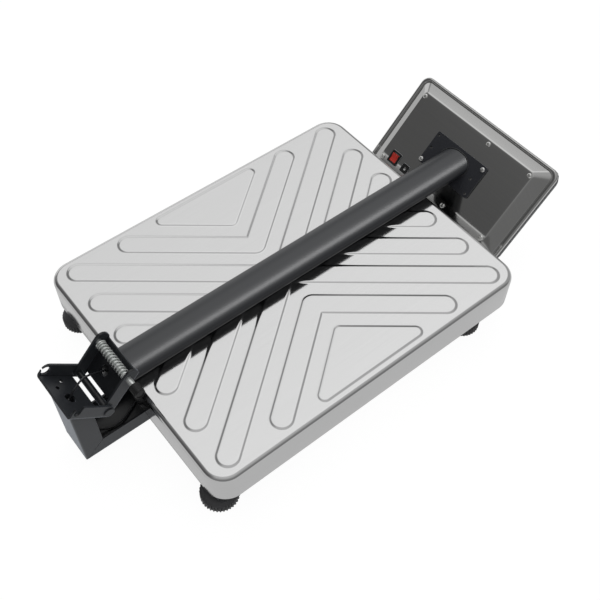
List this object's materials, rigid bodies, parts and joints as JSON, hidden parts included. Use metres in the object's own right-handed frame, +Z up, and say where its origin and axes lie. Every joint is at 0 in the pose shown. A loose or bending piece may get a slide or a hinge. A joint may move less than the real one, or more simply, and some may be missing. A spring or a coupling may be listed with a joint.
{
  "type": "folding platform scale",
  "caption": "Electronic platform scale with a ribbed steel pan, screw feet and a column with display head that folds flat over the pan on a latched hinge",
  "frame": {"origin": "middle of the object's footprint, on the floor that its four feet stand on", "axes": "+Z up; +X along the folded column, from the hinge to the display head; +Y from the side nearer to the viewer, where the lock knob is, to the far side"},
  "size_m": [0.7362, 0.4, 0.1436],
  "materials": {
    "pan_steel": "fine brushed and polished stainless sheet",
    "black_paint": "semi-gloss black powder coat",
    "grey_paint": "satin graphite grey metallic paint",
    "back_steel": "polished stainless sheet, dark mirror",
    "zinc": "bright zinc plating",
    "cell_aluminium": "milled aluminium",
    "rubber": "matt black rubber",
    "black_plastic": "fine-grained black plastic",
    "housing_plastic": "fine-grained dark grey plastic",
    "window": "tinted glossy window",
    "keypad_film": "satin printed film",
    "board_green": "green board lacquer",
    "rocker_red": "glossy red plastic",
    "cable_grey": "dark grey cable sheath"
  },
  "bodies": {
    "base": {"base_arm": "black_paint", "base_post": "black_paint", "base_rail_left_far": "black_paint", "base_rail_left_near": "black_paint", "base_rail_right_far": "black_paint", "base_rail_right_near": "black_paint", "cell_bolt_lower_1": "zinc", "cell_bolt_lower_2": "zinc", "cell_bolt_upper_1": "zinc", "cell_bolt_upper_2": "zinc", "cell_pad": "black_paint", "cell_seat": "black_paint", "load_cell": "cell_aluminium", "lower_leaf": "black_paint", "pan_buffer_left_far": "rubber", "pan_buffer_left_near": "rubber", "pan_buffer_right_far": "rubber", "pan_buffer_right_near": "rubber", "pivot_clip": "zinc", "pivot_pin": "black_paint", "pivot_sleeve": "black_paint", "platform_pan": "pan_steel", "signal_cable": "cable_grey", "top_frame": "black_paint", "weld_nut_left_far": "zinc", "weld_nut_left_near": "zinc", "weld_nut_right_far": "zinc", "weld_nut_right_near": "zinc"},
    "column": {"upper_leaf": "black_paint", "column_tube": "grey_paint", "mounting_plate": "grey_paint", "head_back_shell": "back_steel", "head_front_shell": "housing_plastic", "display_window": "window", "display_module": "black_plastic", "circuit_board": "board_green", "keypad_film": "keypad_film", "battery": "black_plastic", "rocker_frame": "black_plastic", "power_socket": "black_plastic", "lock_spring": "zinc"},
    "lock": {"lock_rod": "zinc", "lock_knob": "black_plastic", "spring_washer": "zinc"},
    "rocker_switch": {"rocker": "rocker_red"},
    "foot_left_near": {"foot_pad_left_near": "rubber", "foot_stud_left_near": "zinc"},
    "foot_left_far": {"foot_pad_left_far": "rubber", "foot_stud_left_far": "zinc"},
    "foot_right_near": {"foot_pad_right_near": "rubber", "foot_stud_right_near": "zinc"},
    "foot_right_far": {"foot_pad_right_far": "rubber", "foot_stud_right_far": "zinc"}
  },
  "joints": [
    {"name": "column_fold", "type": "hinge", "parent": "base", "child": "column", "pos_m": [-0.32108, 0, 0.0948], "axis": [0, -1, 0], "range_deg": [0, 90], "deforming": ["signal_cable"]},
    {"name": "lock_pull", "type": "slide", "parent": "column", "child": "lock", "axis": [0, -1, 0], "range_m": [-0.0044, 0.006], "stiffness_N_per_m": 300, "springref_m": -0.015, "deforming": ["lock_spring"]},
    {"name": "rocker_tilt", "type": "hinge", "parent": "column", "child": "rocker_switch", "pos_m": [0.2556, 0.086, 0.06666], "axis": [0, 1, 0], "range_deg": [0, 20]},
    {"name": "foot_screw_left_near", "type": "slide", "parent": "base", "child": "foot_left_near", "axis": [0, 0, -1], "range_m": [0, 0.008]},
    {"name": "foot_screw_left_far", "type": "slide", "parent": "base", "child": "foot_left_far", "axis": [0, 0, -1], "range_m": [0, 0.008]},
    {"name": "foot_screw_right_near", "type": "slide", "parent": "base", "child": "foot_right_near", "axis": [0, 0, -1], "range_m": [0, 0.008]},
    {"name": "foot_screw_right_far", "type": "slide", "parent": "base", "child": "foot_right_far", "axis": [0, 0, -1], "range_m": [0, 0.008]}
  ]
}
